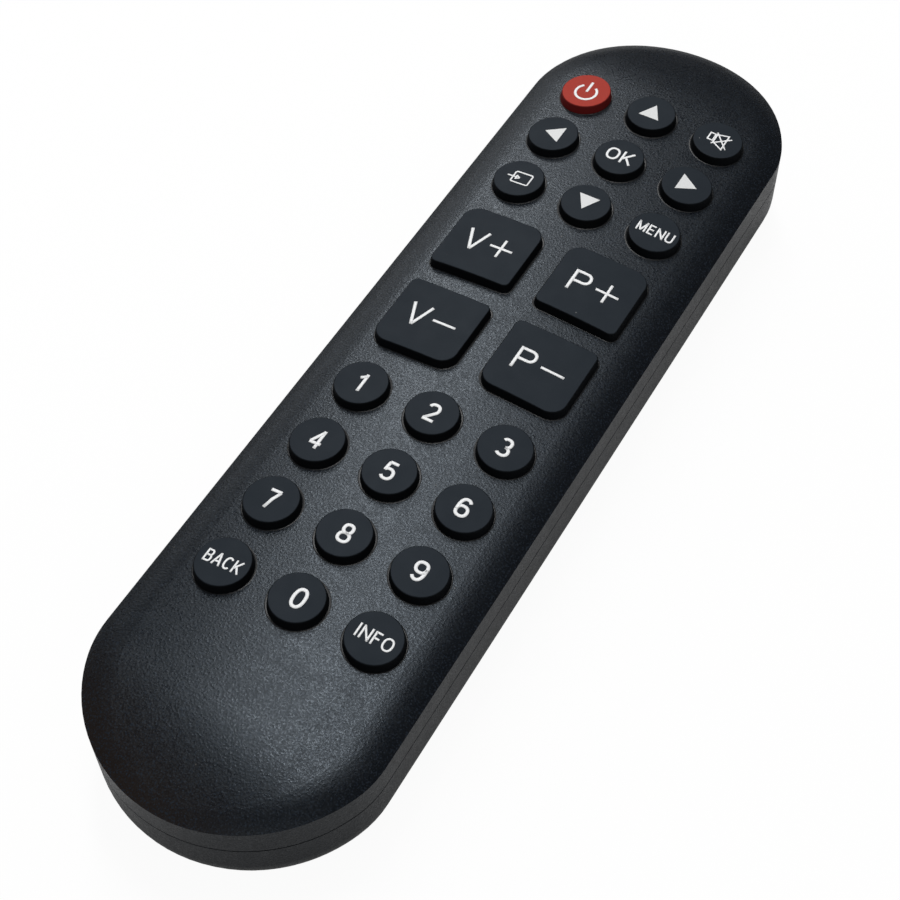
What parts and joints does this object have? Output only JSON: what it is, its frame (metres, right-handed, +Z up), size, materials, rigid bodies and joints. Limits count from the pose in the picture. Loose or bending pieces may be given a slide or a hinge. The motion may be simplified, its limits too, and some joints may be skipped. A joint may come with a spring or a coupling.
{
  "type": "television remote control",
  "caption": "Handheld television remote control with a crowned top, rounded ends, sprung round and square keys, an infrared emitter and a sliding battery door.",
  "frame": {"origin": "centre of the flat back face's footprint", "axes": "+Z up through the keys, +Y towards the infrared end, +X to the right as the keys are read"},
  "size_m": [0.0516, 0.189, 0.0225],
  "materials": {
    "case": "fine spark texture",
    "key": "smooth matte",
    "power_key": "smooth matte",
    "mat": "moulded silicone",
    "board": "green solder mask on laminate",
    "component": "moulded",
    "led": "clear tinted epoxy",
    "cell": "foil sleeve on a can",
    "contact": "nickel plated",
    "screw": "blackened"
  },
  "bodies": {
    "case": {"top_case": "case", "bottom_case": "case", "keypad_mat": "mat", "circuit_board": "board", "controller_chip": "component", "resonator": "component", "capacitor": "component", "transistor": "component", "resistors": "component", "infrared_led": "led", "battery_left": "cell", "battery_right": "cell", "contact_positive": "contact", "contact_negative": "contact", "contact_bridge": "contact", "case_screws": "screw"},
    "door": {"battery_door": "case"},
    "key_power_body": {"key_power": "power_key"},
    "key_up_body": {"key_up": "key"},
    "key_mute_body": {"key_mute": "key"},
    "key_left_body": {"key_left": "key"},
    "key_ok_body": {"key_ok": "key"},
    "key_right_body": {"key_right": "key"},
    "key_source_body": {"key_source": "key"},
    "key_down_body": {"key_down": "key"},
    "key_menu_body": {"key_menu": "key"},
    "key_volume_up_body": {"key_volume_up": "key"},
    "key_volume_down_body": {"key_volume_down": "key"},
    "key_program_up_body": {"key_program_up": "key"},
    "key_program_down_body": {"key_program_down": "key"},
    "key_1_body": {"key_1": "key"},
    "key_2_body": {"key_2": "key"},
    "key_3_body": {"key_3": "key"},
    "key_4_body": {"key_4": "key"},
    "key_5_body": {"key_5": "key"},
    "key_6_body": {"key_6": "key"},
    "key_7_body": {"key_7": "key"},
    "key_8_body": {"key_8": "key"},
    "key_9_body": {"key_9": "key"},
    "key_back_body": {"key_back": "key"},
    "key_0_body": {"key_0": "key"},
    "key_info_body": {"key_info": "key"}
  },
  "joints": [
    {"name": "door_slide", "type": "slide", "parent": "case", "child": "door", "axis": [0, -1, 0], "range_m": [0, 0.062]},
    {"name": "key_power_press", "type": "slide", "parent": "case", "child": "key_power_body", "axis": [0, 0, -1], "range_m": [0, 0.001], "stiffness_N_per_m": 1200, "deforming": ["keypad_mat"]},
    {"name": "key_up_press", "type": "slide", "parent": "case", "child": "key_up_body", "axis": [0, 0, -1], "range_m": [0, 0.001], "stiffness_N_per_m": 1200, "deforming": ["keypad_mat"]},
    {"name": "key_mute_press", "type": "slide", "parent": "case", "child": "key_mute_body", "axis": [0, 0, -1], "range_m": [0, 0.001], "stiffness_N_per_m": 1200, "deforming": ["keypad_mat"]},
    {"name": "key_left_press", "type": "slide", "parent": "case", "child": "key_left_body", "axis": [0, 0, -1], "range_m": [0, 0.001], "stiffness_N_per_m": 1200, "deforming": ["keypad_mat"]},
    {"name": "key_ok_press", "type": "slide", "parent": "case", "child": "key_ok_body", "axis": [0, 0, -1], "range_m": [0, 0.001], "stiffness_N_per_m": 1200, "deforming": ["keypad_mat"]},
    {"name": "key_right_press", "type": "slide", "parent": "case", "child": "key_right_body", "axis": [0, 0, -1], "range_m": [0, 0.001], "stiffness_N_per_m": 1200, "deforming": ["keypad_mat"]},
    {"name": "key_source_press", "type": "slide", "parent": "case", "child": "key_source_body", "axis": [0, 0, -1], "range_m": [0, 0.001], "stiffness_N_per_m": 1200, "deforming": ["keypad_mat"]},
    {"name": "key_down_press", "type": "slide", "parent": "case", "child": "key_down_body", "axis": [0, 0, -1], "range_m": [0, 0.001], "stiffness_N_per_m": 1200, "deforming": ["keypad_mat"]},
    {"name": "key_menu_press", "type": "slide", "parent": "case", "child": "key_menu_body", "axis": [0, 0, -1], "range_m": [0, 0.001], "stiffness_N_per_m": 1200, "deforming": ["keypad_mat"]},
    {"name": "key_volume_up_press", "type": "slide", "parent": "case", "child": "key_volume_up_body", "axis": [0, 0, -1], "range_m": [0, 0.001], "stiffness_N_per_m": 1500, "deforming": ["keypad_mat"]},
    {"name": "key_volume_down_press", "type": "slide", "parent": "case", "child": "key_volume_down_body", "axis": [0, 0, -1], "range_m": [0, 0.001], "stiffness_N_per_m": 1500, "deforming": ["keypad_mat"]},
    {"name": "key_program_up_press", "type": "slide", "parent": "case", "child": "key_program_up_body", "axis": [0, 0, -1], "range_m": [0, 0.001], "stiffness_N_per_m": 1500, "deforming": ["keypad_mat"]},
    {"name": "key_program_down_press", "type": "slide", "parent": "case", "child": "key_program_down_body", "axis": [0, 0, -1], "range_m": [0, 0.001], "stiffness_N_per_m": 1500, "deforming": ["keypad_mat"]},
    {"name": "key_1_press", "type": "slide", "parent": "case", "child": "key_1_body", "axis": [0, 0, -1], "range_m": [0, 0.001], "stiffness_N_per_m": 1200, "deforming": ["keypad_mat"]},
    {"name": "key_2_press", "type": "slide", "parent": "case", "child": "key_2_body", "axis": [0, 0, -1], "range_m": [0, 0.001], "stiffness_N_per_m": 1200, "deforming": ["keypad_mat"]},
    {"name": "key_3_press", "type": "slide", "parent": "case", "child": "key_3_body", "axis": [0, 0, -1], "range_m": [0, 0.001], "stiffness_N_per_m": 1200, "deforming": ["keypad_mat"]},
    {"name": "key_4_press", "type": "slide", "parent": "case", "child": "key_4_body", "axis": [0, 0, -1], "range_m": [0, 0.001], "stiffness_N_per_m": 1200, "deforming": ["keypad_mat"]},
    {"name": "key_5_press", "type": "slide", "parent": "case", "child": "key_5_body", "axis": [0, 0, -1], "range_m": [0, 0.001], "stiffness_N_per_m": 1200, "deforming": ["keypad_mat"]},
    {"name": "key_6_press", "type": "slide", "parent": "case", "child": "key_6_body", "axis": [0, 0, -1], "range_m": [0, 0.001], "stiffness_N_per_m": 1200, "deforming": ["keypad_mat"]},
    {"name": "key_7_press", "type": "slide", "parent": "case", "child": "key_7_body", "axis": [0, 0, -1], "range_m": [0, 0.001], "stiffness_N_per_m": 1200, "deforming": ["keypad_mat"]},
    {"name": "key_8_press", "type": "slide", "parent": "case", "child": "key_8_body", "axis": [0, 0, -1], "range_m": [0, 0.001], "stiffness_N_per_m": 1200, "deforming": ["keypad_mat"]},
    {"name": "key_9_press", "type": "slide", "parent": "case", "child": "key_9_body", "axis": [0, 0, -1], "range_m": [0, 0.001], "stiffness_N_per_m": 1200, "deforming": ["keypad_mat"]},
    {"name": "key_back_press", "type": "slide", "parent": "case", "child": "key_back_body", "axis": [0, 0, -1], "range_m": [0, 0.001], "stiffness_N_per_m": 1200, "deforming": ["keypad_mat"]},
    {"name": "key_0_press", "type": "slide", "parent": "case", "child": "key_0_body", "axis": [0, 0, -1], "range_m": [0, 0.001], "stiffness_N_per_m": 1200, "deforming": ["keypad_mat"]},
    {"name": "key_info_press", "type": "slide", "parent": "case", "child": "key_info_body", "axis": [0, 0, -1], "range_m": [0, 0.001], "stiffness_N_per_m": 1200, "deforming": ["keypad_mat"]}
  ]
}
